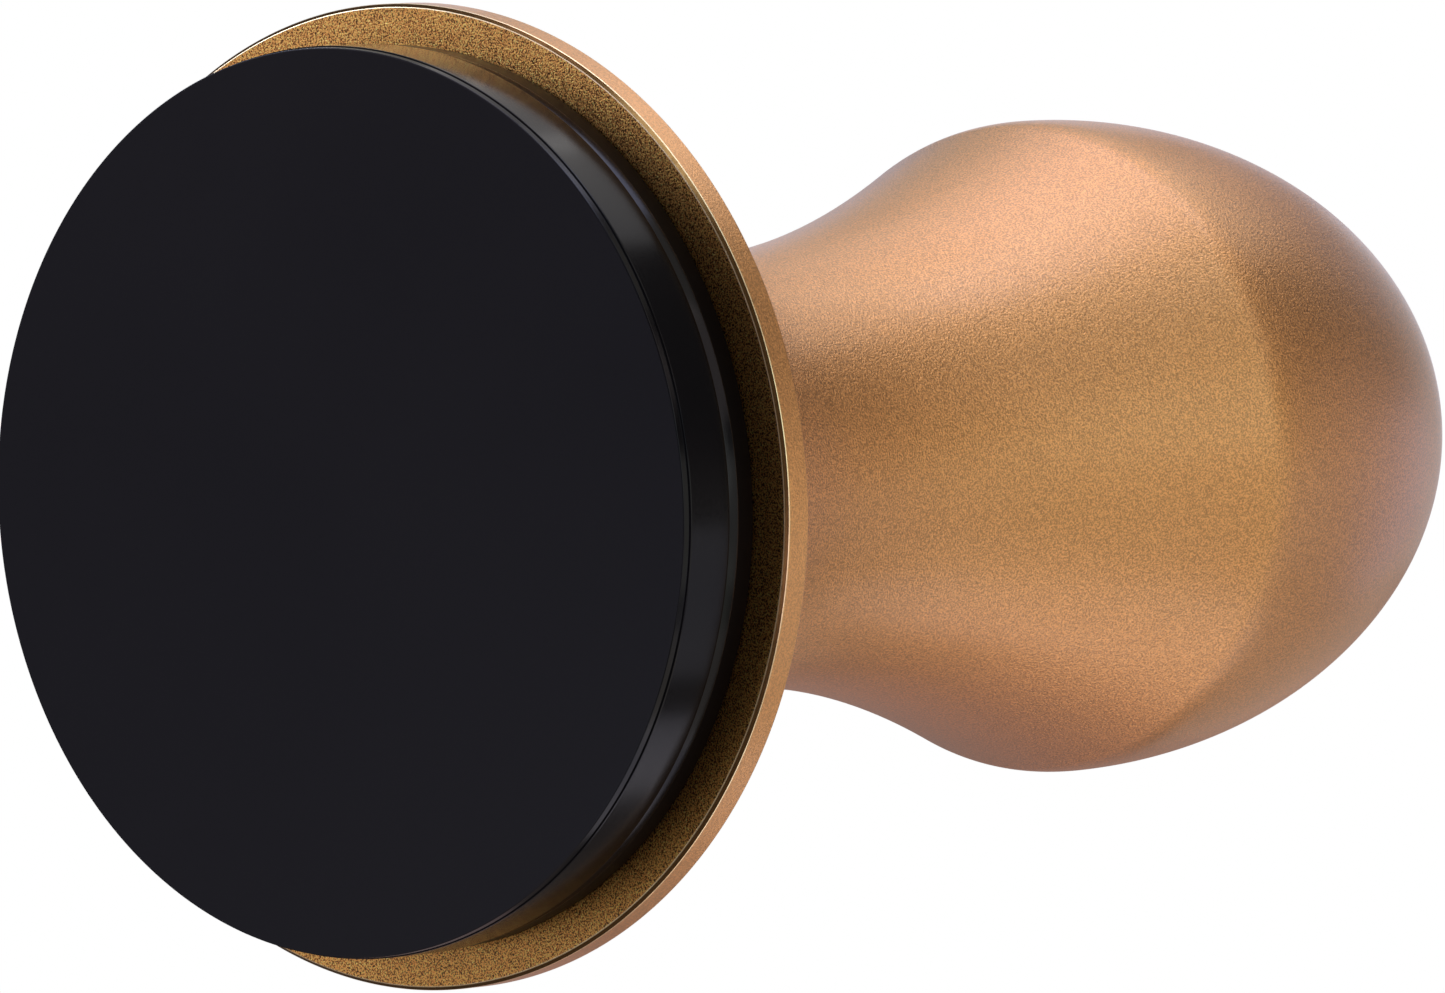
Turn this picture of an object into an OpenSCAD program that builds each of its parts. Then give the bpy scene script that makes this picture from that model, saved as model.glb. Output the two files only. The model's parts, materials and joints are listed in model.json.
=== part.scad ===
// Spring-loaded levelling espresso tamper. Millimetres, +Z up.
// Origin: the middle of the flat tamping face, which is also the lowest point.

/* [Base] */
// outer radius of the tamping base
base_r = 29.25; // [24:0.05:30]
// radius of the flat tamping face, inside the edge chamfer
face_r = 29.12; // [23:0.01:30]
// height of the chamfer round the tamping face
edge_h = 0.53; // [0.1:0.01:1.5]
// top of the straight wall
wall_top = 4.35; // [3:0.05:8]
// radius at the bottom of the narrow groove above the wall
groove_r = 28.9; // [23:0.05:30]
// outer radius of the rim above the groove
rim_r = 29.1; // [23:0.05:30]
// top of the sloping band between groove and rim
band_top = 5.36; // [4:0.02:6]
// top of the rim, just under the collar
rim_top = 6.9; // [5:0.05:9]
// inner radius of the rim
rim_in_r = 27.2; // [22:0.1:29]
// top of the plate inside the rim
plate_top = 5.3; // [4:0.05:8]
// radius of the raised boss on top of the base
boss_r = 11.5; // [9:0.1:16]
// top of the raised boss
boss_top = 6.1; // [5:0.1:8]
// depth of the annular recess in the top of the base
recess_d = 0.8; // [0:0.1:2]

/* [Levelling collar] */
// outer radius of the collar
collar_r = 31.75; // [28:0.05:36]
// underside of the collar
collar_z = 7.0; // [6:0.05:9]
// thickness of the collar
collar_t = 2.32; // [1.5:0.02:5]
// polished chamfer on both outer edges of the collar
collar_c = 0.24; // [0.1:0.02:0.8]
// bore of the collar
collar_bore_r = 11.35; // [10:0.05:14]
// how far the collar can rise
collar_travel = 6.0; // [3:0.5:8]

/* [Collar hub] */
// radius of the hub's flange on top of the collar
hub_flange_r = 17.4; // [14:0.1:24]
// thickness of the hub's flange
hub_flange_t = 2.3; // [1.5:0.1:4]
// outer radius of the hub's sleeve
sleeve_r = 12.0; // [11:0.05:13]
// bore of the hub's sleeve
sleeve_bore_r = 10.8; // [10:0.05:12]
// top of the hub's sleeve
sleeve_top = 26.4; // [20:0.1:30]
// pitch radius of the collar screws
screw_pcr = 14.4; // [13:0.1:20]
// number of collar screws
screw_n = 3; // [3:1:6]

/* [Piston rod] */
// radius of the thick lower part of the rod
rod_r = 8.0; // [6:0.05:9]
// radius of the thin upper part of the rod
rod_top_r = 6.0; // [4:0.05:7]
// height where the rod steps down to its thin part
rod_step_z = 28.0; // [26:0.1:34]
// height of the rod's upper shoulder
rod_shoulder_z = 47.4; // [40:0.1:55]
// radius of the threaded ends of the rod
spigot_r = 4.0; // [3:0.05:5]
// running clearance of the sliding fits, on the radius
fit = 0.06; // [0.02:0.01:0.1]

/* [Handle] */
// bottom of the handle
foot_z = 23.6; // [22:0.1:28]
// outer radius at the handle's foot
foot_r = 15.5; // [14:0.1:18]
// smallest radius of the neck
neck_r = 14.2; // [13.5:0.05:16]
// height of the smallest radius
neck_z = 36.0; // [32:0.5:42]
// radius of the widest ring
ridge_r = 21.95; // [18:0.05:26]
// height where the neck's flare meets the rounded ridge
ridge_z = 69.6; // [60:0.1:80]
// outward slope of the flare where it meets the ridge
flare = 0.4; // [0.1:0.01:0.8]
// height of the widest ring
widest_z = 72.6; // [62:0.1:84]
// top of the handle
handle_top = 106.0; // [90:0.5:115]
// how far the handle can be pressed down
press_travel = 5.0; // [3:0.5:6]

/* [Handle bores] */
// bore that takes the hub's sleeve
foot_bore_r = 12.3; // [12.2:0.02:13]
// bore that takes the guide plug
plug_bore_r = 12.06; // [11:0.02:13]
// bore that takes the piston and the main spring
bore_r = 11.2; // [10:0.05:12]
// underside of the guide plug
plug_z = 38.0; // [34:0.1:42]
// top of the guide plug
plug_top = 46.0; // [42:0.1:50]
// ceiling of the bore
bore_top = 86.4; // [70:0.1:92]

/* [Springs] */
// wire radius of the main spring
main_wire_r = 1.15; // [0.8:0.05:1.4]
// mean coil radius of the main spring
main_coil_r = 8.7; // [7:0.1:9.5]
// turns of the main spring, closed ends counted
main_turns = 9; // [6:0.5:12]
// wire radius of the levelling spring
lev_wire_r = 0.4; // [0.3:0.05:0.5]
// mean coil radius of the levelling spring
lev_coil_r = 9.3; // [8.8:0.05:9.9]
// turns of the levelling spring, closed ends counted
lev_turns = 5.5; // [4:0.5:8]

/* [Hidden] */
$fn = 96;
gold = [0.70, 0.51, 0.32];
black = [0.10, 0.10, 0.115];
steel = [0.72, 0.73, 0.74];
zinc = [0.60, 0.61, 0.63];
polymer = [0.86, 0.84, 0.78];
amber = [0.70, 0.58, 0.36];
rubber = [0.09, 0.09, 0.09];
silicone = [0.22, 0.22, 0.23];

collar_top = collar_z + collar_t;
flange_top = collar_top + hub_flange_t;
bush_top = 11.8;                    // top of the hub's bush pocket
lip_top = 12.8;                     // top of the hub's inner lip
lev_seat_t = 0.7;
lev_low = lip_top + lev_seat_t;     // lower end of the levelling spring
stop_z = 25.05;                     // underside of the circlip
lev_high = stop_z - 0.85;           // upper end of the levelling spring
head_z = rod_shoulder_z;            // underside of the piston head
head_t = 4.0;
head_top = head_z + head_t;
seat_t = 1.2;
main_low = head_top + seat_t;       // lower end of the main spring
preload_t = 0.8;
main_high = bore_top - preload_t - seat_t; // upper end of the main spring

// a cubic Bezier curve between two points, as [radius, height] pairs
function bez(a, b, c, d, n) = [for (i = [1:n]) let (t = i / n, s = 1 - t)
    s*s*s*a + 3*s*s*t*b + 3*s*t*t*c + t*t*t*d];

// outline of the handle from its foot to the middle of its top
foot_p = [foot_r, foot_z + 0.6];
neck_p = [neck_r, neck_z];
ridge_p = [ridge_r - 0.4, ridge_z];
wide_p = [ridge_r, widest_z];
knee_p = [ridge_r, ridge_z + 0.4 / flare];   // where the flare's line meets the widest radius
top_p = [0, handle_top];
round_k = 0.5523;                            // handle length that makes a Bezier curve an ellipse
handle_outline = concat(
    [[foot_bore_r + 0.5, foot_z], [foot_r - 0.6, foot_z], [foot_r - 0.18, foot_z + 0.18], foot_p],
    bez(foot_p, foot_p + [-0.5, 4.0], neck_p + [0, -4.6], neck_p, 10),
    bez(neck_p, neck_p + [0, 6.0], ridge_p - 17.5 * [flare, 1], ridge_p, 24),
    bez(ridge_p, ridge_p + (knee_p - ridge_p) * 2 / 3, wide_p + (knee_p - wide_p) * 2 / 3, wide_p, 6),
    bez(wide_p, wide_p + [0, round_k * (handle_top - widest_z)], top_p + [round_k * ridge_r, 0], top_p, 28));

// ring of rectangular section
module ring(r_in, r_out, z0, z1) {
    rotate_extrude() translate([r_in, z0]) square([r_out - r_in, z1 - z0]);
}

// ring of round section
module o_ring(mean_r, section_r, z) {
    rotate_extrude() translate([mean_r, z]) circle(r = section_r, $fn = 32);
}

// ring of rectangular section with a gap of the given angle
module split_ring(r_in, r_out, z0, z1, gap) {
    rotate([0, 0, gap / 2]) rotate_extrude(angle = 360 - gap)
        translate([r_in, z0]) square([r_out - r_in, z1 - z0]);
}

// height along a compression spring: closed turns at both ends, even pitch between
function coil_z(u, turns, wire, len) = let (
    shut = 1.0,
    rise = 2.2 * wire,
    free = len - 2 * wire - 2 * rise * shut,
    z = u < shut ? rise * u
      : u > turns - shut ? rise * shut + free + rise * (u - (turns - shut))
      : rise * shut + free * (u - shut) / (turns - 2 * shut)) z;

// compression spring of round wire between two heights
module spring(coil_r, wire, turns, z0, z1, seg, side) {
    n = round(turns * seg);
    len = z1 - z0;
    pts = [for (i = [0:n]) let (u = i / seg, a = 360 * u,
            z = z0 + wire + coil_z(u, turns, wire, len))
        for (j = [0:side - 1]) let (b = 360 * j / side,
            r = coil_r + wire * cos(b))
            [r * cos(a), r * sin(a), z + wire * sin(b)]];
    walls = [for (i = [0:n - 1]) for (j = [0:side - 1]) let (k = (j + 1) % side)
        [i * side + j, i * side + k, (i + 1) * side + k, (i + 1) * side + j]];
    tris = [for (q = walls) each [[q[0], q[2], q[1]], [q[0], q[3], q[2]]]];
    polyhedron(points = pts, faces = concat(
        [[for (j = [0:side - 1]) j]], tris,
        [[for (j = [side - 1:-1:0]) n * side + j]]));
}

// --- base ---

module tamping_base() color(black) difference() {
    rotate_extrude() polygon([
        [0, 0], [face_r, 0], [base_r, edge_h], [base_r, wall_top], [groove_r, wall_top + 0.14],
        [rim_r, band_top], [rim_r, rim_top - 0.1], [rim_r - 0.1, rim_top],
        [rim_in_r + 0.2, rim_top], [rim_in_r, rim_top - 0.2], [rim_in_r, plate_top - recess_d],
        [13.2, plate_top - recess_d], [12.4, plate_top],
        [boss_r, plate_top], [boss_r, boss_top - 0.2], [boss_r - 0.2, boss_top], [0, boss_top]]);
    translate([0, 0, 1.6]) cylinder(r = spigot_r + 0.05, h = boss_top);
    ring(5.35, 6.65, boss_top - 0.98, boss_top + 1);
}

module base_seal_ring() color(rubber) o_ring(6.0, 0.47, boss_top - 0.49);

module collar_rest_ring() color(silicone)
    rotate_extrude() polygon([[8.5, boss_top], [10.9, boss_top], [10.9, collar_z - 0.2],
        [10.6, collar_z - 0.02], [8.8, collar_z - 0.02], [8.5, collar_z - 0.2]]);

module piston_rod() color(steel) difference() {
    rotate_extrude() polygon([
        [0, 1.9], [spigot_r - 0.4, 1.9], [spigot_r, 2.3], [spigot_r, boss_top],
        [rod_r, boss_top], [rod_r, stop_z - 0.05], [rod_r - 0.7, stop_z - 0.05],
        [rod_r - 0.7, stop_z + 1.05], [rod_r, stop_z + 1.05], [rod_r, rod_step_z - 0.6],
        [rod_r - 0.6, rod_step_z], [rod_top_r, rod_step_z], [rod_top_r, rod_shoulder_z],
        [spigot_r, rod_shoulder_z], [spigot_r, head_top - 0.5], [spigot_r - 0.3, head_top - 0.2],
        [0, head_top - 0.2]]);
    translate([0, 0, 36]) cylinder(r = 2.55, h = 30);
}

module levelling_stop_ring() color(zinc)
    split_ring(rod_r - 0.65, 10.0, stop_z, stop_z + 1.0, 26);

module levelling_stop_washer() color(zinc)
    ring(rod_r + 0.1, 10.3, lev_high, stop_z - 0.05);

module piston_head() color(steel)
    rotate_extrude() polygon([
        [spigot_r + 0.04, head_z], [10.3, head_z], [10.7, head_z + 0.4],
        [10.7, head_z + 1.0], [9.5, head_z + 1.0], [9.5, head_z + 3.0], [10.7, head_z + 3.0],
        [10.7, head_top - 0.4], [10.3, head_top], [spigot_r + 0.04, head_top]]);

module piston_wear_ring() color(polymer)
    split_ring(9.55, bore_r - fit, head_z + 1.05, head_z + 2.95, 14);

module piston_screw_washer() color(zinc) ring(2.75, 5.3, head_top, head_top + 0.8);

module piston_screw() color(zinc) difference() {
    rotate_extrude() polygon([
        [0, 37.5], [2.1, 37.5], [2.5, 37.9], [2.5, head_top + 0.8], [4.25, head_top + 0.8],
        [4.25, head_top + 5.5], [3.95, head_top + 5.8], [0, head_top + 5.8]]);
    translate([0, 0, head_top + 3.1]) cylinder(r = 2.31, h = 4, $fn = 6);
}

module main_spring_lower_seat() color(zinc) ring(5.7, 10.4, head_top, main_low);

// --- collar ---

module levelling_collar() color(gold) difference() {
    rotate_extrude() polygon([
        [collar_bore_r, collar_z], [collar_r - collar_c, collar_z],
        [collar_r, collar_z + collar_c], [collar_r, collar_top - collar_c],
        [collar_r - collar_c, collar_top], [collar_bore_r, collar_top]]);
    for (i = [0:screw_n - 1]) rotate([0, 0, 360 * i / screw_n]) translate([screw_pcr, 0, 0])
        rotate_extrude() polygon([[0, collar_z - 1], [3.2, collar_z - 1], [3.2, collar_z + 0.1],
            [1.6, collar_z + 1.7], [1.6, collar_top + 1], [0, collar_top + 1]]);
}

module collar_hub() color(black) difference() {
    rotate_extrude() polygon([
        [9.6, collar_z], [collar_bore_r - 0.05, collar_z], [collar_bore_r - 0.05, collar_top],
        [hub_flange_r, collar_top], [hub_flange_r, flange_top - 0.3], [hub_flange_r - 0.3, flange_top],
        [sleeve_r + 0.6, flange_top], [sleeve_r + 0.17, flange_top + 0.17], [sleeve_r, flange_top + 0.6],
        [sleeve_r, 24.25], [11.35, 24.25], [11.35, 25.75], [sleeve_r, 25.75],
        [sleeve_r, sleeve_top - 0.3], [sleeve_r - 0.3, sleeve_top],
        [sleeve_bore_r, sleeve_top], [sleeve_bore_r, lip_top], [rod_r + 0.35, lip_top],
        [rod_r + 0.35, bush_top], [9.6, bush_top]]);
    for (i = [0:screw_n - 1]) rotate([0, 0, 360 * i / screw_n]) translate([screw_pcr, 0, 0])
        cylinder(r = 1.55, h = flange_top - 0.5);
}

module hub_bush() color(amber) ring(rod_r + fit, 9.55, collar_z + 0.3, bush_top - 0.05);

module sleeve_guide_ring() color(polymer)
    split_ring(11.4, foot_bore_r - fit, 24.3, 25.7, 12);

module collar_screws() color(zinc)
    for (i = [0:screw_n - 1]) rotate([0, 0, 360 * i / screw_n]) translate([screw_pcr, 0, 0]) difference() {
        rotate_extrude() polygon([[0, collar_z + 0.1], [3.1, collar_z + 0.1], [3.1, collar_z + 0.15],
            [1.5, collar_z + 1.75], [1.5, flange_top - 0.9], [1.2, flange_top - 0.6], [0, flange_top - 0.6]]);
        translate([0, 0, collar_z - 1]) cylinder(r = 1.16, h = 2.2, $fn = 6);
    }

module levelling_spring_seat() color(zinc) ring(rod_r + 0.35, 10.6, lip_top, lev_low);

// --- handle ---

module handle_shell() color(gold) rotate_extrude() polygon(concat(
    handle_outline,
    [[0, bore_top + 1.6], [1.6, bore_top], [bore_r, bore_top],
     [bore_r, plug_top + 0.6], [plug_bore_r, plug_top + 0.6],
     [plug_bore_r, plug_z], [foot_bore_r, plug_z - 0.24], [foot_bore_r, foot_z + 0.5]]));

module guide_plug() color(black) difference() {
    rotate_extrude() polygon([
        [8.6, plug_z], [11.6, plug_z], [12.0, plug_z + 0.4], [12.0, plug_z + 2.3],
        [11.0, plug_z + 2.3], [11.0, plug_z + 3.5], [12.0, plug_z + 3.5],
        [12.0, plug_top - 0.4], [11.6, plug_top], [7.65, plug_top],
        [7.65, plug_z + 1.7], [8.6, plug_z + 1.7]]);
    for (a = [0, 180]) rotate([0, 0, a]) translate([10.1, 0, plug_z - 1]) cylinder(r = 0.8, h = 2.8);
}

module guide_bush() color(amber) ring(rod_top_r + fit, 7.6, plug_z + 1.75, plug_top - 0.05);

module rod_wiper() color(rubber)
    rotate_extrude() polygon([[rod_top_r + 0.05, plug_z + 0.35], [rod_top_r + 0.5, plug_z + 0.2],
        [8.55, plug_z + 0.2], [8.55, plug_z + 1.65], [rod_top_r + 0.9, plug_z + 1.65],
        [rod_top_r + 0.9, plug_z + 0.9], [rod_top_r + 0.05, plug_z + 0.6]]);

module plug_seal_ring() color(rubber) o_ring(11.52, 0.5, plug_z + 2.9);

module stop_bumper() color(silicone)
    rotate_extrude() polygon([[6.5, plug_top], [10.8, plug_top], [10.8, head_z - 0.35],
        [10.5, head_z - 0.05], [6.8, head_z - 0.05], [6.5, head_z - 0.35]]);

module main_spring_upper_seat() color(zinc)
    rotate_extrude() polygon([[3.6, main_high - 2.0], [6.7, main_high - 2.0], [7.2, main_high - 1.5],
        [7.2, main_high], [10.6, main_high], [10.6, main_high + seat_t], [3.6, main_high + seat_t]]);

module preload_disc() color(steel) ring(3.2, 10.8, bore_top - preload_t, bore_top);

// --- springs ---

module main_spring() color(steel)
    spring(main_coil_r, main_wire_r, main_turns, main_low, main_high, 24, 10);

module levelling_spring() color(steel)
    spring(lev_coil_r, lev_wire_r, lev_turns, lev_low, lev_high, 28, 8);

tamping_base();
base_seal_ring();
collar_rest_ring();
piston_rod();
levelling_stop_ring();
levelling_stop_washer();
piston_head();
piston_wear_ring();
piston_screw_washer();
piston_screw();
main_spring_lower_seat();
levelling_collar();
collar_hub();
hub_bush();
sleeve_guide_ring();
collar_screws();
levelling_spring_seat();
handle_shell();
guide_plug();
guide_bush();
rod_wiper();
plug_seal_ring();
stop_bumper();
main_spring_upper_seat();
preload_disc();
main_spring();
levelling_spring();
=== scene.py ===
import json
import math

import bmesh
import bpy
import numpy as np
from mathutils import Matrix, Vector


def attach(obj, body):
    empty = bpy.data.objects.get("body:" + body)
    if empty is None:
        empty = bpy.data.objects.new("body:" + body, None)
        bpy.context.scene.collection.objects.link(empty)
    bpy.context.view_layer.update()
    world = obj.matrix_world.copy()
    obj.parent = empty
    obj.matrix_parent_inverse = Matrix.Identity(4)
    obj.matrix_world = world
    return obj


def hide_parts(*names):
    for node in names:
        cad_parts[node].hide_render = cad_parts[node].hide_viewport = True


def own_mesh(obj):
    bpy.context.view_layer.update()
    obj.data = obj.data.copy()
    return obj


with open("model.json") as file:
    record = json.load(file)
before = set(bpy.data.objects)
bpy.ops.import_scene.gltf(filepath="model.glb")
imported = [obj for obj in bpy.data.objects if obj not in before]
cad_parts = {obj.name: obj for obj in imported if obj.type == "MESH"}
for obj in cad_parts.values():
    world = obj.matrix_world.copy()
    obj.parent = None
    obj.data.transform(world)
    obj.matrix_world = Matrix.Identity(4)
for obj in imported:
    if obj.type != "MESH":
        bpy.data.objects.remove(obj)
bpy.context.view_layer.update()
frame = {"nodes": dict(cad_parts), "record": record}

scene = bpy.context.scene
MM = 0.001

# ---------------------------------------------------------------- camera
# The axis of the tool (+Z) as the camera sees it: right, up and towards the camera.
AX_RIGHT, AX_UP, AX_BACK = 0.64070, 0.05293, -0.76596
FACE_RIGHT, FACE_UP, FACE_DEPTH = -24.790, -0.448, 1031.712      # where the tamping face's centre lies, mm
back = Vector((0.0, -math.sqrt(1 - AX_BACK ** 2), AX_BACK))
e1 = (Vector((0, 0, 1)) - AX_BACK * back).normalized()
e2 = back.cross(e1).normalized()
k = math.hypot(AX_RIGHT, AX_UP)
right = (AX_RIGHT * e1 - AX_UP * e2) / k
up = (AX_UP * e1 + AX_RIGHT * e2) / k
cam_pos = (-FACE_RIGHT * right - FACE_UP * up + FACE_DEPTH * back) * MM
cam_data = bpy.data.cameras.new("camera")
cam = bpy.data.objects.new("camera", cam_data)
scene.collection.objects.link(cam)
cam_data.sensor_fit = "HORIZONTAL"
cam_data.sensor_width = 36.0
cam_data.lens = 16143.54 / 1445.0 * 36.0
cam_data.clip_start = 0.05
cam_data.clip_end = 20.0
basis = Matrix((right, up, back)).transposed()
cam.matrix_world = Matrix.Translation(cam_pos) @ basis.to_4x4()
scene.camera = cam


def seen(r, u, b):
    """A direction given as right, up and towards the camera, in the row frame."""
    return (r * right + u * up + b * back).normalized()


# ---------------------------------------------------------------- materials
class Nodes:
    def __init__(self, name):
        self.mat = bpy.data.materials.new(name)
        self.mat.use_nodes = True
        self.nt = self.mat.node_tree
        self.nt.nodes.clear()
        self.out = self.add("ShaderNodeOutputMaterial")
        self.bsdf = self.add("ShaderNodeBsdfPrincipled")
        self.link(self.bsdf.outputs["BSDF"], self.out.inputs["Surface"])
        self.coord = self.add("ShaderNodeTexCoord").outputs["Object"]

    def add(self, kind, **props):
        n = self.nt.nodes.new(kind)
        for key, value in props.items():
            setattr(n, key, value)
        return n

    def link(self, a, b):
        self.nt.links.new(a, b)

    def put(self, socket, value):
        if isinstance(value, (int, float)):
            socket.default_value = value
        elif isinstance(value, (tuple, list)):
            socket.default_value = (*value, 1.0) if len(value) == 3 and len(socket.default_value) == 4 else value
        else:
            self.link(value, socket)

    def noise(self, scale, detail=2.0, rough=0.5, stretch=None, distortion=0.0):
        src = self.coord
        if stretch:
            m = self.add("ShaderNodeMapping")
            m.inputs["Scale"].default_value = stretch
            self.link(src, m.inputs["Vector"])
            src = m.outputs["Vector"]
        n = self.add("ShaderNodeTexNoise")
        n.inputs["Scale"].default_value = scale
        n.inputs["Detail"].default_value = detail
        n.inputs["Roughness"].default_value = rough
        n.inputs["Distortion"].default_value = distortion
        self.link(src, n.inputs["Vector"])
        return n.outputs["Fac"]

    def cells(self, scale, feature="F1"):
        n = self.add("ShaderNodeTexVoronoi", feature=feature)
        n.inputs["Scale"].default_value = scale
        self.link(self.coord, n.inputs["Vector"])
        return n.outputs["Distance"]

    def range(self, value, a, b, c, d, smooth=False):
        n = self.add("ShaderNodeMapRange", interpolation_type="SMOOTHSTEP" if smooth else "LINEAR")
        for i, v in zip(("From Min", "From Max", "To Min", "To Max"), (a, b, c, d)):
            n.inputs[i].default_value = v
        self.put(n.inputs["Value"], value)
        return n.outputs["Result"]

    def math(self, op, a, b=0.0, clamp=False):
        n = self.add("ShaderNodeMath", operation=op, use_clamp=clamp)
        self.put(n.inputs[0], a)
        self.put(n.inputs[1], b)
        return n.outputs[0]

    def mix(self, fac, a, b, blend="MIX"):
        n = self.add("ShaderNodeMix", data_type="RGBA", blend_type=blend)
        self.put(n.inputs["Factor"], fac)
        self.put(n.inputs["A"], a)
        self.put(n.inputs["B"], b)
        return n.outputs["Result"]

    def grey(self, value):
        n = self.add("ShaderNodeCombineColor")
        for s in n.inputs:
            self.put(s, value)
        return n.outputs[0]

    def bump(self, height, strength, distance, normal=None):
        n = self.add("ShaderNodeBump")
        n.inputs["Strength"].default_value = strength
        n.inputs["Distance"].default_value = distance
        self.put(n.inputs["Height"], height)
        if normal is not None:
            self.link(normal, n.inputs["Normal"])
        return n.outputs["Normal"]

    def xyz(self):
        n = self.add("ShaderNodeSeparateXYZ")
        self.link(self.coord, n.inputs[0])
        return n.outputs

    def radius(self):
        x, y, _ = self.xyz()
        return self.math("SQRT", self.math("ADD", self.math("MULTIPLY", x, x), self.math("MULTIPLY", y, y)))

    def set(self, **values):
        for key, value in values.items():
            self.put(self.bsdf.inputs[key.replace("_", " ")], value)
        return self.mat


def blasted_gold(name, colour=(0.62, 0.305, 0.113), grain=7800.0, contrast=0.30, rough=0.40, relief=1.0, coat=0.75,
                 painted_glint=0.0):
    n = Nodes(name)
    fine = n.noise(grain, 1.5, 0.55)
    pits = n.cells(grain * 0.62)
    painted_glint_spots = n.noise(grain * 1.35, 1.0, 0.5)
    broad = n.noise(70.0, 3.0, 0.5)
    shade = n.range(fine, 0.38, 0.62, 1.0 - contrast, 1.0 + contrast)
    # painted glints: bright specks of painted highlight added to the base colour
    if painted_glint:
        shade = n.math("ADD", shade, n.range(painted_glint_spots, 0.61, 0.76, 0.0, painted_glint))
    shade = n.math("MULTIPLY", shade, n.range(broad, 0.3, 0.7, 0.97, 1.03))
    tint = n.mix(n.range(broad, 0.35, 0.65, 0.0, 1.0), colour, tuple(c * f for c, f in zip(colour, (0.985, 1.0, 1.03))))
    base = n.mix(1.0, tint, n.grey(shade), "MULTIPLY")
    r = n.math("ADD", n.range(fine, 0.3, 0.7, rough - 0.05, rough + 0.05), n.range(broad, 0.3, 0.7, -0.02, 0.02))
    height = n.math("ADD", n.math("MULTIPLY", fine, 0.75), n.math("MULTIPLY", pits, 0.25))
    return n.set(Base_Color=base, Metallic=1.0, Roughness=r, Coat_Weight=coat, Coat_Roughness=0.3, Coat_IOR=1.5,
                 Normal=n.bump(height, relief, 0.000075))


def cut_gold(name, light=(0.80, 0.55, 0.30), dark=(0.62, 0.38, 0.18), rough=0.15):
    n = Nodes(name)
    rings = n.noise(1.0, 2.0, 0.5, stretch=(900.0, 900.0, 26000.0))
    nick = n.noise(2600.0, 3.0, 0.7)
    base = n.mix(n.range(nick, 0.50, 0.72, 0.0, 0.6), light, dark)
    return n.set(Base_Color=base, Metallic=1.0, Roughness=n.range(rings, 0.3, 0.7, rough - 0.05, rough + 0.05),
                 Normal=n.bump(rings, 0.10, 0.00001))


def coated_black(name, rough=0.21, spec=0.31, lathe=True, dark=(0.0016, 0.0016, 0.0019), light=(0.0022, 0.0021, 0.0026),
                 metallic=0.0):
    n = Nodes(name)
    r = n.radius()
    broad = n.noise(45.0, 3.0, 0.55)
    fine = n.noise(6500.0, 2.0, 0.6)
    # turning marks: rings on the flat faces, and round the wall
    wave = n.add("ShaderNodeTexNoise", noise_dimensions="2D")
    c = n.add("ShaderNodeCombineXYZ")
    n.put(c.inputs[0], n.math("MULTIPLY", r, 9000.0))
    n.put(c.inputs[1], n.math("MULTIPLY", n.xyz()[2], 9000.0))
    n.link(c.outputs[0], wave.inputs["Vector"])
    wave.inputs["Scale"].default_value = 1.0
    wave.inputs["Detail"].default_value = 2.0
    rings = wave.outputs["Fac"]
    rub = n.math("MULTIPLY", n.range(n.noise(260.0, 4.0, 0.65, distortion=0.6), 0.62, 0.78, 0.0, 1.0),
                 n.range(r, 0.0284, 0.0293, 0.0, 1.0))
    base = n.mix(n.range(broad, 0.3, 0.7, 0.0, 1.0), dark, light)
    base = n.mix(n.math("MULTIPLY", rub, 0.25), base, (0.016, 0.016, 0.018))
    rr = n.math("ADD", n.range(broad, 0.3, 0.7, rough - 0.03, rough + 0.03), n.range(fine, 0.3, 0.7, -0.03, 0.03))
    height = n.math("ADD", n.math("MULTIPLY", fine, 0.5), n.math("MULTIPLY", rings, 0.5 if lathe else 0.0))
    return n.set(Base_Color=base, Metallic=metallic, Roughness=rr, Specular_IOR_Level=spec, Specular_Tint=(0.74, 0.76, 1.0),
                 Normal=n.bump(height, 0.10, 0.00001))


def lathe_metal(name, colour, rough, ring=16000.0, metallic=1.0, spots=0.1):
    n = Nodes(name)
    rings = n.noise(1.0, 3.0, 0.6, stretch=(500.0, 500.0, ring))
    fine = n.noise(4200.0, 2.0, 0.6)
    broad = n.noise(180.0, 3.0, 0.6)
    shade = n.math("MULTIPLY", n.range(rings, 0.3, 0.7, 1 - spots, 1 + spots), n.range(broad, 0.3, 0.7, 0.93, 1.07))
    base = n.mix(1.0, colour, n.grey(shade), "MULTIPLY")
    r = n.math("ADD", n.range(rings, 0.3, 0.7, rough - 0.06, rough + 0.06), n.range(broad, 0.3, 0.7, -0.03, 0.04))
    h = n.math("ADD", n.math("MULTIPLY", rings, 0.7), n.math("MULTIPLY", fine, 0.3))
    return n.set(Base_Color=base, Metallic=metallic, Roughness=r, Normal=n.bump(h, 0.15, 0.00001))


def moulded(name, colour, rough, grain=3000.0, spec=0.45, relief=0.2):
    n = Nodes(name)
    fine = n.noise(grain, 3.0, 0.6)
    broad = n.noise(160.0, 3.0, 0.6)
    base = n.mix(1.0, colour, n.grey(n.math("MULTIPLY", n.range(fine, 0.3, 0.7, 0.9, 1.1), n.range(broad, 0.3, 0.7, 0.93, 1.07))),
                 "MULTIPLY")
    return n.set(Base_Color=base, Metallic=0.0, Specular_IOR_Level=spec,
                 Roughness=n.math("ADD", n.range(fine, 0.3, 0.7, rough - 0.05, rough + 0.05), n.range(broad, 0.3, 0.7, -0.03, 0.03)),
                 Normal=n.bump(fine, relief, 0.00002))


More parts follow.
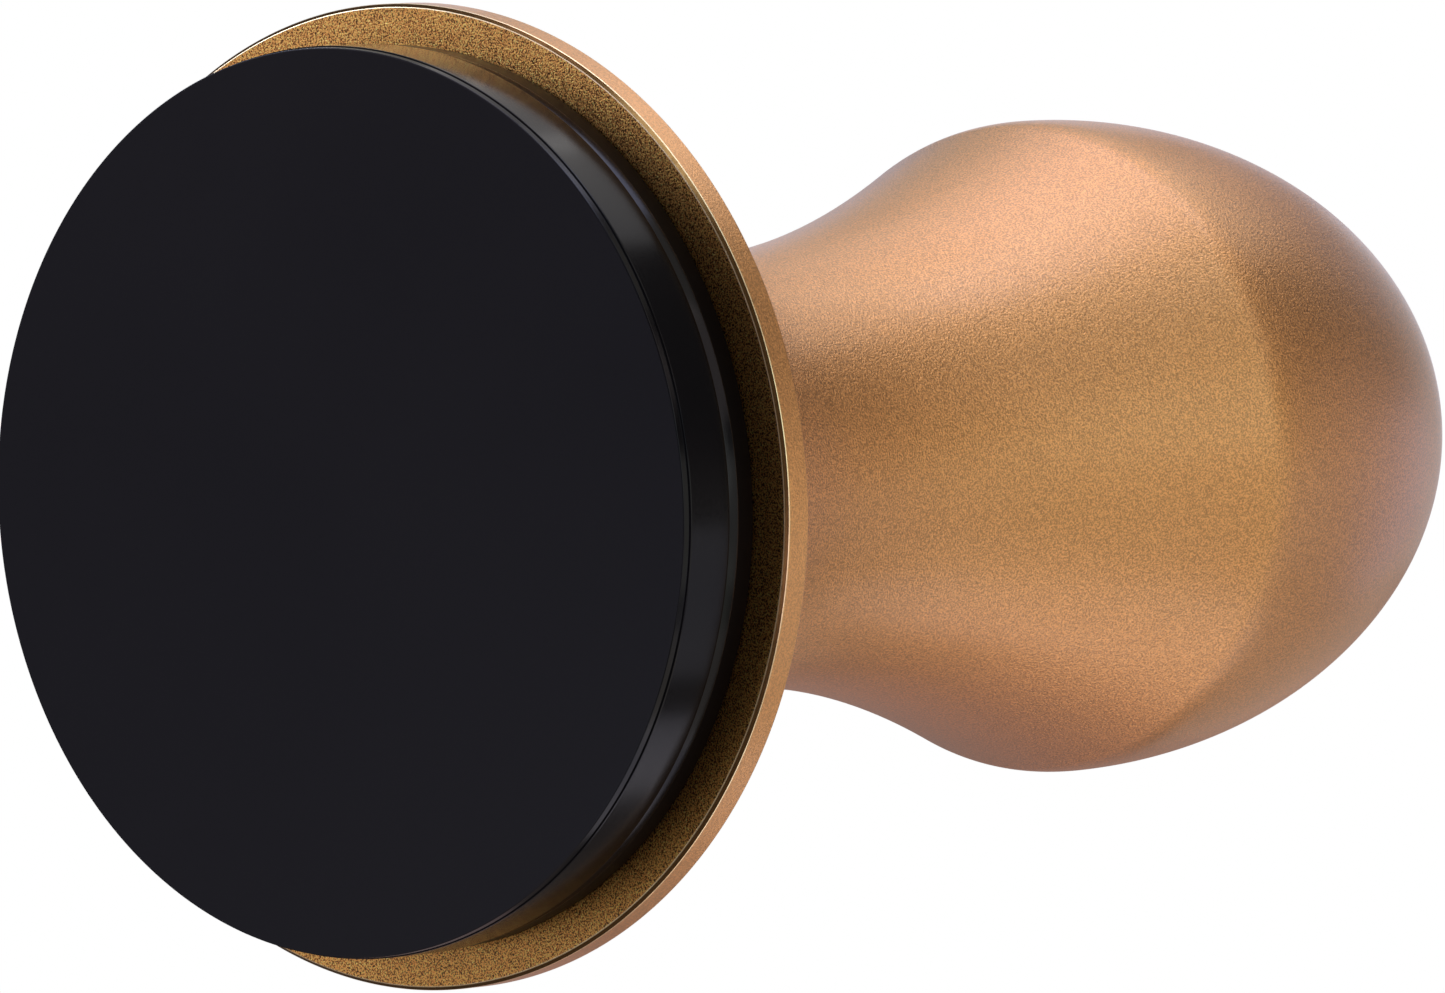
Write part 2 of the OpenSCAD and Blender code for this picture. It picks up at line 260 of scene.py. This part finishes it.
gold_side = blasted_gold("gold_handle")
# the collar's blasted faces get painted glints, bright specks of painted highlight in the base colour
gold_rough = blasted_gold("gold_collar_face", colour=(0.74, 0.330, 0.090), contrast=0.90, grain=8600.0, rough=0.38, relief=0.35,
                          coat=0.36, painted_glint=3.4)
gold_rim = blasted_gold("gold_collar_rim", colour=(0.70, 0.350, 0.130), contrast=0.16, relief=0.45)
# the chamfers' dark gold is painted shade standing in for a dark reflection; their edges' light gold is a painted glint
dark_painted_chamfer_gold = cut_gold("gold_chamfer_painted_shade", light=(0.30, 0.17, 0.065), dark=(0.16, 0.085, 0.03), rough=0.22)
glint_painted_edge_gold = cut_gold("gold_edge_painted_glint", light=(1.0, 0.80, 0.52), dark=(0.85, 0.60, 0.34), rough=0.30)
black_coat = coated_black("black_coating", spec=0.27)
black_wall = coated_black("black_wall", rough=0.17, spec=0.24)
# a painted glint: the edge beside the groove is light bluish grey metal, though the base is black coated
black_painted_glint_edge = coated_black("black_painted_glint_edge", rough=0.24, spec=0.5, lathe=False, dark=(0.34, 0.34, 0.40), light=(0.42, 0.42, 0.50), metallic=1.0)
black_lip = coated_black("black_lip", rough=0.20, spec=0.55, lathe=False)
black_rim = coated_black("black_rim", rough=0.36, spec=0.10)
black_anod = coated_black("black_anodised", rough=0.36, spec=0.45)
MATS = {
    "base_black": black_coat,
    "gold_blasted": gold_side,
    "black_anodised": black_anod,
    "ground_steel": lathe_metal("ground_steel", (0.56, 0.56, 0.57), 0.26),
    "plated_steel": lathe_metal("plated_steel", (0.50, 0.52, 0.56), 0.34, ring=7000.0),
    "spring_steel": lathe_metal("spring_steel", (0.36, 0.36, 0.37), 0.36, ring=5000.0),
    "bronze": lathe_metal("bronze", (0.46, 0.29, 0.12), 0.45, ring=6000.0),
    "white_polymer": moulded("white_polymer", (0.68, 0.66, 0.60), 0.5),
    "black_rubber": moulded("black_rubber", (0.014, 0.014, 0.014), 0.6, relief=0.35),
    "grey_silicone": moulded("grey_silicone", (0.05, 0.05, 0.054), 0.5, relief=0.3),
}


# ---------------------------------------------------------------- turned shapes
def bez(a, b, c, d, n, ends=(0, 1)):
    a, b, c, d = (np.array(p, float) for p in (a, b, c, d))
    t = np.linspace(0, 1, n + 1)[ends[0]:][:, None]
    s = 1 - t
    return s ** 3 * a + 3 * s * s * t * b + 3 * s * t * t * c + t ** 3 * d


def rounded(corners, guard=0.07, steps=4):
    """Turns (radius, height, fillet, material, fillet's material) corners of an outline into points with filleted corners.

    A guard loop beside each fillet keeps the flat faces flat in the shading."""
    n = len(corners)
    pts, mats = [], []
    for i in range(n):
        r, z, f, m = corners[i][:4]
        arc = corners[i][4] if len(corners[i]) > 4 else None
        p = np.array((r, z), float)
        q0, q1 = np.array(corners[i - 1][:2], float), np.array(corners[(i + 1) % n][:2], float)
        a, b = q0 - p, q1 - p
        la, lb = np.linalg.norm(a), np.linalg.norm(b)
        a, b = a / la, b / lb
        cos = float(np.clip(a @ b, -1, 1))
        ang = math.acos(cos)
        if f <= 0 or ang > math.radians(176):
            pts.append(p)
            mats.append(m)
            continue
        cut = min(f / math.tan(ang / 2), la * 0.42, lb * 0.42)
        g = min(guard, la * 0.45 - cut, lb * 0.45 - cut)
        t0, t1 = p + a * cut, p + b * cut
        before = corners[i - 1][3]
        if g > 0.004:
            pts.append(p + a * (cut + g))
            mats.append(before)
        for s in range(steps + 1):
            t = s / steps
            pts.append((1 - t) ** 2 * t0 + 2 * t * (1 - t) * p + t ** 2 * t1)
            mats.append(m if s == steps else arc if arc is not None else before if s < steps / 2 else m)
        if g > 0.004:
            pts.append(p + b * (cut + g))
            mats.append(m)
    return np.array(pts), mats


def turned(name, pts, mats, materials, seg=320, closed=True):
    """A body of revolution about +Z from an outline of (radius, height) points in mm."""
    n = len(pts)
    verts, faces, index, ring = [], [], [], []
    for r, z in pts:
        if r < 1e-6:
            ring.append([len(verts)])
            verts.append((0.0, 0.0, z * MM))
        else:
            ring.append(list(range(len(verts), len(verts) + seg)))
            for j in range(seg):
                a = 2 * math.pi * j / seg
                verts.append((r * MM * math.cos(a), r * MM * math.sin(a), z * MM))
    for i in range(n if closed else n - 1):
        a, b = ring[i], ring[(i + 1) % n]
        if len(a) == 1 and len(b) == 1:
            continue
        for j in range(seg):
            k1 = (j + 1) % seg
            if len(a) == 1:
                f = (a[0], b[k1], b[j])
            elif len(b) == 1:
                f = (a[j], a[k1], b[0])
            else:
                f = (a[j], a[k1], b[k1], b[j])
            faces.append(f)
            index.append(mats[i])
    mesh = bpy.data.meshes.new(name)
    mesh.from_pydata(verts, [], faces)
    for m in materials:
        mesh.materials.append(m)
    mesh.polygons.foreach_set("material_index", index)
    mesh.polygons.foreach_set("use_smooth", [True] * len(faces))
    bm = bmesh.new()
    bm.from_mesh(mesh)
    bmesh.ops.recalc_face_normals(bm, faces=bm.faces)
    bm.to_mesh(mesh)
    bm.free()
    mesh.update()
    o = bpy.data.objects.new(name, mesh)
    scene.collection.objects.link(o)
    return o


def coil(name, coil_r, wire, turns, z0, z1, material, seg=40, side=16):
    """A compression spring of round wire with closed ends, between two heights in mm."""
    rise = 2.2 * wire
    length = z1 - z0
    free = length - 2 * wire - 2 * rise

    def height(u):
        if u < 1:
            return rise * u
        if u > turns - 1:
            return rise + free + rise * (u - (turns - 1))
        return rise + free * (u - 1) / (turns - 2)
    n = round(turns * seg)
    verts, faces = [], []
    for i in range(n + 1):
        u = i / seg
        a = 2 * math.pi * u
        # a factor for thinner ground closed ends, which nothing uses
        end = min(1.0, 0.55 + 0.45 * min(u, turns - u) / 0.5)
        for j in range(side):
            b = 2 * math.pi * j / side
            r = coil_r + wire * math.cos(b)
            z = z0 + wire + height(u) + wire * math.sin(b)
            z = min(max(z, z0 + (0.0 if u < 1.2 else -9)), z1)
            verts.append((r * MM * math.cos(a), r * MM * math.sin(a), z * MM))
    for i in range(n):
        for j in range(side):
            k1 = (j + 1) % side
            faces.append((i * side + j, i * side + k1, (i + 1) * side + k1, (i + 1) * side + j))
    faces.append(tuple(range(side)))
    faces.append(tuple(n * side + j for j in reversed(range(side))))
    mesh = bpy.data.meshes.new(name)
    mesh.from_pydata(verts, [], faces)
    mesh.materials.append(material)
    mesh.polygons.foreach_set("use_smooth", [True] * (len(faces) - 2) + [False] * 2)
    bm = bmesh.new()
    bm.from_mesh(mesh)
    bmesh.ops.recalc_face_normals(bm, faces=bm.faces)
    bm.to_mesh(mesh)
    bm.free()
    o = bpy.data.objects.new(name, mesh)
    scene.collection.objects.link(o)
    return o


# sizes of the outside, mm, as in the frame
BASE_R, FACE_R, EDGE_H, WALL_TOP, GROOVE_R, BAND_TOP = 29.25, 29.12, 0.53, 4.35, 28.9, 5.36
RIM_R, RIM_TOP, RIM_IN_R, PLATE_TOP, RECESS_D, BOSS_R, BOSS_TOP = 29.1, 6.9, 27.2, 5.3, 0.8, 11.5, 6.1
COL_R, COL_Z, COL_TOP, COL_C, COL_BORE = 31.75, 7.0, 9.32, 0.24, 11.35
FOOT_Z, FOOT_R, NECK_R, NECK_Z, RIDGE_R, RIDGE_Z, FLARE, WIDE_Z, TOP_Z = 23.6, 15.5, 14.2, 36.0, 21.95, 69.6, 0.4, 72.6, 106.0

# the base; material 0 face, 1 wall, 2 the edge beside the groove, painted light bluish grey metal as a painted glint, 3
# the duller rim under the collar, 4 its lower lip
pts, mats = rounded([
    (0, 0, 0, 0), (FACE_R, 0, 0.05, 1), (FACE_R + 0.05, EDGE_H - 0.09, 0.02, 1), (FACE_R + 0.01, EDGE_H - 0.03, 0.015, 1),
    (BASE_R - 0.01, EDGE_H + 0.05, 0.03, 1), (BASE_R, EDGE_H + 0.15, 0.03, 1), (BASE_R, WALL_TOP, 0.05, 1),
    (GROOVE_R, WALL_TOP + 0.05, 0.02, 1), (GROOVE_R, WALL_TOP + 0.10, 0.01, 1), (GROOVE_R + 0.06, WALL_TOP + 0.12, 0.10, 1, 2),
    (RIM_R, BAND_TOP, 0.5, 3, 4), (RIM_R, RIM_TOP - 0.1, 0.03, 3), (RIM_R - 0.1, RIM_TOP, 0.03, 3),
    (RIM_IN_R + 0.2, RIM_TOP, 0.03, 3), (RIM_IN_R, RIM_TOP - 0.2, 0.03, 1), (RIM_IN_R, PLATE_TOP - RECESS_D, 0.2, 1),
    (13.2, PLATE_TOP - RECESS_D, 0.2, 1), (12.4, PLATE_TOP, 0.05, 1), (BOSS_R, PLATE_TOP, 0.05, 1),
    (BOSS_R, BOSS_TOP - 0.2, 0.05, 1), (BOSS_R - 0.2, BOSS_TOP, 0.05, 1),
    (6.65, BOSS_TOP, 0.03, 1), (6.65, BOSS_TOP - 0.98, 0.03, 1), (5.35, BOSS_TOP - 0.98, 0.03, 1), (5.35, BOSS_TOP, 0.03, 1),
    (4.05, BOSS_TOP, 0.03, 1), (4.05, 1.6, 0.05, 1), (0, 1.6, 0, 1)])
base = turned("tamping_base_skin", pts, mats, [black_coat, black_wall, black_painted_glint_edge, black_rim, black_lip], closed=False)
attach(base, "base")
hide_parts("tamping_base")

# the levelling collar; material 0 side, 1 blasted faces, 2 chamfers, painted dark gold as painted shade, 3 their edges,
# painted light gold as painted glints
pts, mats = rounded([
    (COL_BORE, COL_Z, 0.05, 1), (COL_R - COL_C, COL_Z, 0.10, 2, 3), (COL_R, COL_Z + COL_C, 0.10, 0, 3),
    (COL_R, COL_TOP - COL_C, 0.10, 2), (COL_R - COL_C, COL_TOP, 0.08, 1), (COL_BORE, COL_TOP, 0.05, 0)], guard=0.03, steps=6)
collar = turned("levelling_collar_skin", pts, mats, [gold_rim, gold_rough, dark_painted_chamfer_gold, glint_painted_edge_gold], seg=384)
# countersinks for the screws, cut from the same places as in the frame
cutters = []
for i in range(3):
    c, _ = rounded([(0, COL_Z - 1, 0, 0), (3.2, COL_Z - 1, 0, 0), (3.2, COL_Z + 0.1, 0, 0),
                    (1.6, COL_Z + 1.7, 0, 0), (1.6, COL_TOP + 1, 0, 0), (0, COL_TOP + 1, 0, 0)])
    cut = turned("cut", c, [0] * len(c), [dark_painted_chamfer_gold], seg=48, closed=False)
    a = 2 * math.pi * i / 3
    cut.data.transform(Matrix.Translation((14.4 * MM * math.cos(a), 14.4 * MM * math.sin(a), 0)))
    mod = collar.modifiers.new("hole", "BOOLEAN")
    mod.operation = "DIFFERENCE"
    mod.solver = "EXACT"
    mod.object = cut
    cutters.append(cut)
bpy.context.view_layer.update()
dg = bpy.context.evaluated_depsgraph_get()
holed = bpy.data.meshes.new_from_object(collar.evaluated_get(dg))
collar.modifiers.clear()
collar.data = holed
# the cut leaves long thin faces on the two flat sides: these are shaded flat
for p in holed.polygons:
    if abs(p.normal.z) > 0.9995:
        p.use_smooth = False
for c in cutters:
    bpy.data.objects.remove(c, do_unlink=True)
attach(collar, "collar")
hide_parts("levelling_collar")

# the handle
foot, neck = np.array((FOOT_R, FOOT_Z + 0.6)), np.array((NECK_R, NECK_Z))
ridge, wide = np.array((RIDGE_R - 0.4, RIDGE_Z)), np.array((RIDGE_R, WIDE_Z))
knee, top = np.array((RIDGE_R, RIDGE_Z + 0.4 / FLARE)), np.array((0.0, TOP_Z))
outline = np.vstack([
    bez((FOOT_R - 0.6, FOOT_Z), (FOOT_R - 0.25, FOOT_Z), (FOOT_R, FOOT_Z + 0.25), foot, 8, (0, 1)),
    bez(foot, foot + (-0.5, 4.0), neck + (0, -4.6), neck, 24, (1, 1)),
    bez(neck, neck + (0, 6.0), ridge - 17.5 * np.array((FLARE, 1)), ridge, 60, (1, 1)),
    bez(ridge, ridge + (knee - ridge) * 2 / 3, wide + (knee - wide) * 2 / 3, wide, 14, (1, 1)),
    bez(wide, wide + (0, 0.5523 * (TOP_Z - WIDE_Z)), top + (0.5523 * RIDGE_R, 0), top, 84, (1, 1))])
inner, _ = rounded([
    (1.6, 86.4, 0, 0), (11.2, 86.4, 0.1, 0), (11.2, 46.6, 0.05, 0), (12.06, 46.6, 0.05, 0), (12.06, 38.0, 0.05, 0),
    (12.3, 37.76, 0.05, 0), (12.3, FOOT_Z + 0.5, 0.06, 0), (12.8, FOOT_Z, 0.06, 0), (14.0, FOOT_Z, 0, 0)])
path = np.vstack([outline, [(0, 88.0)], inner[:-1]])
handle = turned("handle_shell_skin", path, [0] * len(path), [gold_side], closed=True)
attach(handle, "handle")
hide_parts("handle_shell")

# the springs
for name, args, joint, anchor, keep in (
        ("main_spring", (8.7, 1.15, 9, 52.6, 84.4), "handle_press", 52.6, 26.8 / 31.8),
        ("levelling_spring", (9.3, 0.4, 5.5, 13.5, 24.2), "collar_lift", 24.2, 4.7 / 10.7)):
    s = coil(name + "_wire", *args, MATS["spring_steel"])
    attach(s, "base")
    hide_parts(name)
    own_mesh(s)

# the other pieces keep their frame shapes and get their own materials
slots = {p["node"]: p.get("material_slot") for p in frame["record"]["subparts"]}
for name, o in frame["nodes"].items():
    m = MATS[slots[name]]
    o.data.materials.clear()
    o.data.materials.append(m)

# ---------------------------------------------------------------- studio
floor_mesh = bpy.data.meshes.new("floor")
floor_mesh.from_pydata([(-3, -3, -0.0002), (3, -3, -0.0002), (3, 3, -0.0002), (-3, 3, -0.0002)], [], [(0, 1, 2, 3)])
floor = bpy.data.objects.new("floor", floor_mesh)
scene.collection.objects.link(floor)
fm = bpy.data.materials.new("floor_paper")
fm.use_nodes = True
nt = fm.node_tree
nt.nodes.clear()
out = nt.nodes.new("ShaderNodeOutputMaterial")
paper = nt.nodes.new("ShaderNodeBsdfDiffuse")
paper.inputs["Color"].default_value = (0.86, 0.86, 0.86, 1)
clear = nt.nodes.new("ShaderNodeBsdfTransparent")
mix = nt.nodes.new("ShaderNodeMixShader")
geo = nt.nodes.new("ShaderNodeNewGeometry")
nt.links.new(geo.outputs["Backfacing"], mix.inputs[0])
glow = nt.nodes.new("ShaderNodeEmission")
glow.inputs["Strength"].default_value = 0.20
pale = nt.nodes.new("ShaderNodeAddShader")
nt.links.new(paper.outputs[0], pale.inputs[0])
nt.links.new(glow.outputs[0], pale.inputs[1])
# the paper is lit by the studio round the tool, and keeps one even pale tone further out, where it runs under the panels
where = nt.nodes.new("ShaderNodeTexCoord")
away = nt.nodes.new("ShaderNodeVectorMath")
away.operation = "LENGTH"
nt.links.new(where.outputs["Object"], away.inputs[0])
far = nt.nodes.new("ShaderNodeMapRange")
far.interpolation_type = "SMOOTHSTEP"
far.inputs["From Min"].default_value = 0.10
far.inputs["From Max"].default_value = 0.42
nt.links.new(away.outputs["Value"], far.inputs["Value"])
even = nt.nodes.new("ShaderNodeEmission")
even.inputs["Color"].default_value = (0.76, 0.745, 0.73, 1)
spread = nt.nodes.new("ShaderNodeMixShader")
nt.links.new(far.outputs["Result"], spread.inputs[0])
nt.links.new(pale.outputs[0], spread.inputs[1])
nt.links.new(even.outputs[0], spread.inputs[2])
nt.links.new(spread.outputs[0], mix.inputs[1])
nt.links.new(clear.outputs[0], mix.inputs[2])
nt.links.new(mix.outputs[0], out.inputs["Surface"])
fm.cycles.emission_sampling = "NONE"
floor_mesh.materials.append(fm)
floor.visible_shadow = False
floor.visible_diffuse = False
floor.visible_glossy = False

CENTRE = Vector((0, 0, 0.045))
# direction as the camera sees it (right, up, towards), strength (W), colour: soft round panels on a sphere about the tool
LIGHTS = [
    ((-0.89, 0.45, -0.09), 2.81, (0.68, 0.79, 1.0)),
    ((-0.18, 0.98, -0.01), 1.36, (1.0, 0.89, 0.99)),
    ((0.37, 0.92, -0.14), 1.27, (0.8, 0.82, 1.0)),
    ((-0.04, 0.86, 0.51), 0.99, (0.82, 0.91, 1.0)),
    ((0.43, -0.27, 0.86), 0.91, (1.0, 0.81, 0.92)),
    ((0.03, 0.94, -0.34), 0.9, (0.84, 0.8, 1.0)),
    ((0.58, 0.21, 0.79), 0.73, (0.75, 1.0, 0.98)),
    ((0.53, -0.82, 0.21), 0.67, (0.88, 0.95, 1.0)),
    ((-0.26, 0.8, -0.54), 0.69, (0.74, 0.84, 1.0)),
    ((0.35, -0.93, -0.11), 0.62, (1.0, 0.82, 0.69)),
    ((0.88, 0.12, 0.46), 0.55, (0.96, 1.0, 0.78)),
    ((0.46, 0.8, 0.39), 0.56, (0.68, 0.89, 1.0)),
    ((0.5, 0.73, -0.46), 0.43, (1.0, 0.97, 0.9)),
    ((0.62, -0.72, -0.31), 0.41, (0.99, 0.95, 1.0)),
    ((-0.74, 0.51, 0.44), 0.49, (0.68, 0.68, 1.0)),
    ((-0.94, 0.25, 0.24), 0.4, (1.0, 0.86, 0.79)),
    ((0.07, 0.14, -0.99), 0.39, (0.68, 0.75, 1.0)),
    ((0.19, 0.73, -0.66), 0.32, (1.0, 0.97, 0.93)),
    ((0.85, 0.45, 0.26), 0.39, (1.0, 0.85, 0.68)),
    ((0.99, -0.08, 0.14), 0.31, (1.0, 0.97, 0.73)),
    ((0.8, -0.6, 0.01), 0.3, (1.0, 0.9, 0.68)),
    ((0.69, -0.12, -0.71), 0.31, (0.68, 0.7, 1.0)),
    ((-0.89, -0.28, 0.36), 0.24, (1.0, 0.97, 0.9)),
    ((0.85, -0.39, 0.34), 0.27, (0.96, 1.0, 0.68)),
    ((0.94, -0.29, -0.19), 0.2, (0.99, 0.97, 1.0)),
    ((0.67, 0.74, 0.06), 0.24, (1.0, 0.92, 0.68)),
    ((0.4, 0.08, -0.91), 0.21, (0.8, 0.89, 1.0)),
    ((0.12, -0.89, -0.44), 0.24, (1.0, 0.72, 0.68)),
    ((0.92, 0.05, -0.39), 0.19, (1.0, 0.75, 0.68)),
    ((-1.0, -0.09, 0.04), 0.15, (0.94, 0.9, 1.0)),
    ((0.41, -0.37, -0.84), 0.17, (1.0, 0.82, 0.68)),
    ((-0.05, 0.5, -0.86), 0.12, (1.0, 0.97, 0.82)),
    ((-0.05, -0.65, -0.76), 0.13, (1.0, 0.68, 0.68)),
    ((0.45, 0.42, -0.79), 0.11, (0.68, 0.7, 1.0)),
    ((0.07, -0.26, -0.96), 0.1, (1.0, 0.68, 0.68)),
]
for i, (d, power, colour) in enumerate(LIGHTS):
    data = bpy.data.lights.new("panel_%02d" % i, "AREA")
    data.shape = "DISK"
    data.size = 0.42
    data.energy = power
    data.color = colour
    o = bpy.data.objects.new(data.name, data)
    scene.collection.objects.link(o)
    direction = seen(*d)
    o.location = CENTRE + direction * 0.9
    o.rotation_mode = "QUATERNION"
    o.rotation_quaternion = direction.to_track_quat("Z", "Y")
    o.visible_camera = False

world = bpy.data.worlds.new("studio")
scene.world = world
world.use_nodes = True
nt = world.node_tree
nt.nodes.clear()
out = nt.nodes.new("ShaderNodeOutputWorld")
seen_bg = nt.nodes.new("ShaderNodeBackground")
seen_bg.inputs["Color"].default_value = (1, 1, 1, 1)
seen_bg.inputs["Strength"].default_value = 1.0
fill = nt.nodes.new("ShaderNodeBackground")
fill.inputs["Color"].default_value = (1.00, 0.87, 0.82, 1)
fill.inputs["Strength"].default_value = 0.123
path_node = nt.nodes.new("ShaderNodeLightPath")
mix = nt.nodes.new("ShaderNodeMixShader")
nt.links.new(path_node.outputs["Is Camera Ray"], mix.inputs[0])
nt.links.new(fill.outputs[0], mix.inputs[1])
nt.links.new(seen_bg.outputs[0], mix.inputs[2])
nt.links.new(mix.outputs[0], out.inputs["Surface"])

scene.view_settings.view_transform = "Standard"
scene.view_settings.look = "None"
scene.view_settings.exposure = 0.0
scene.view_settings.gamma = 1.0
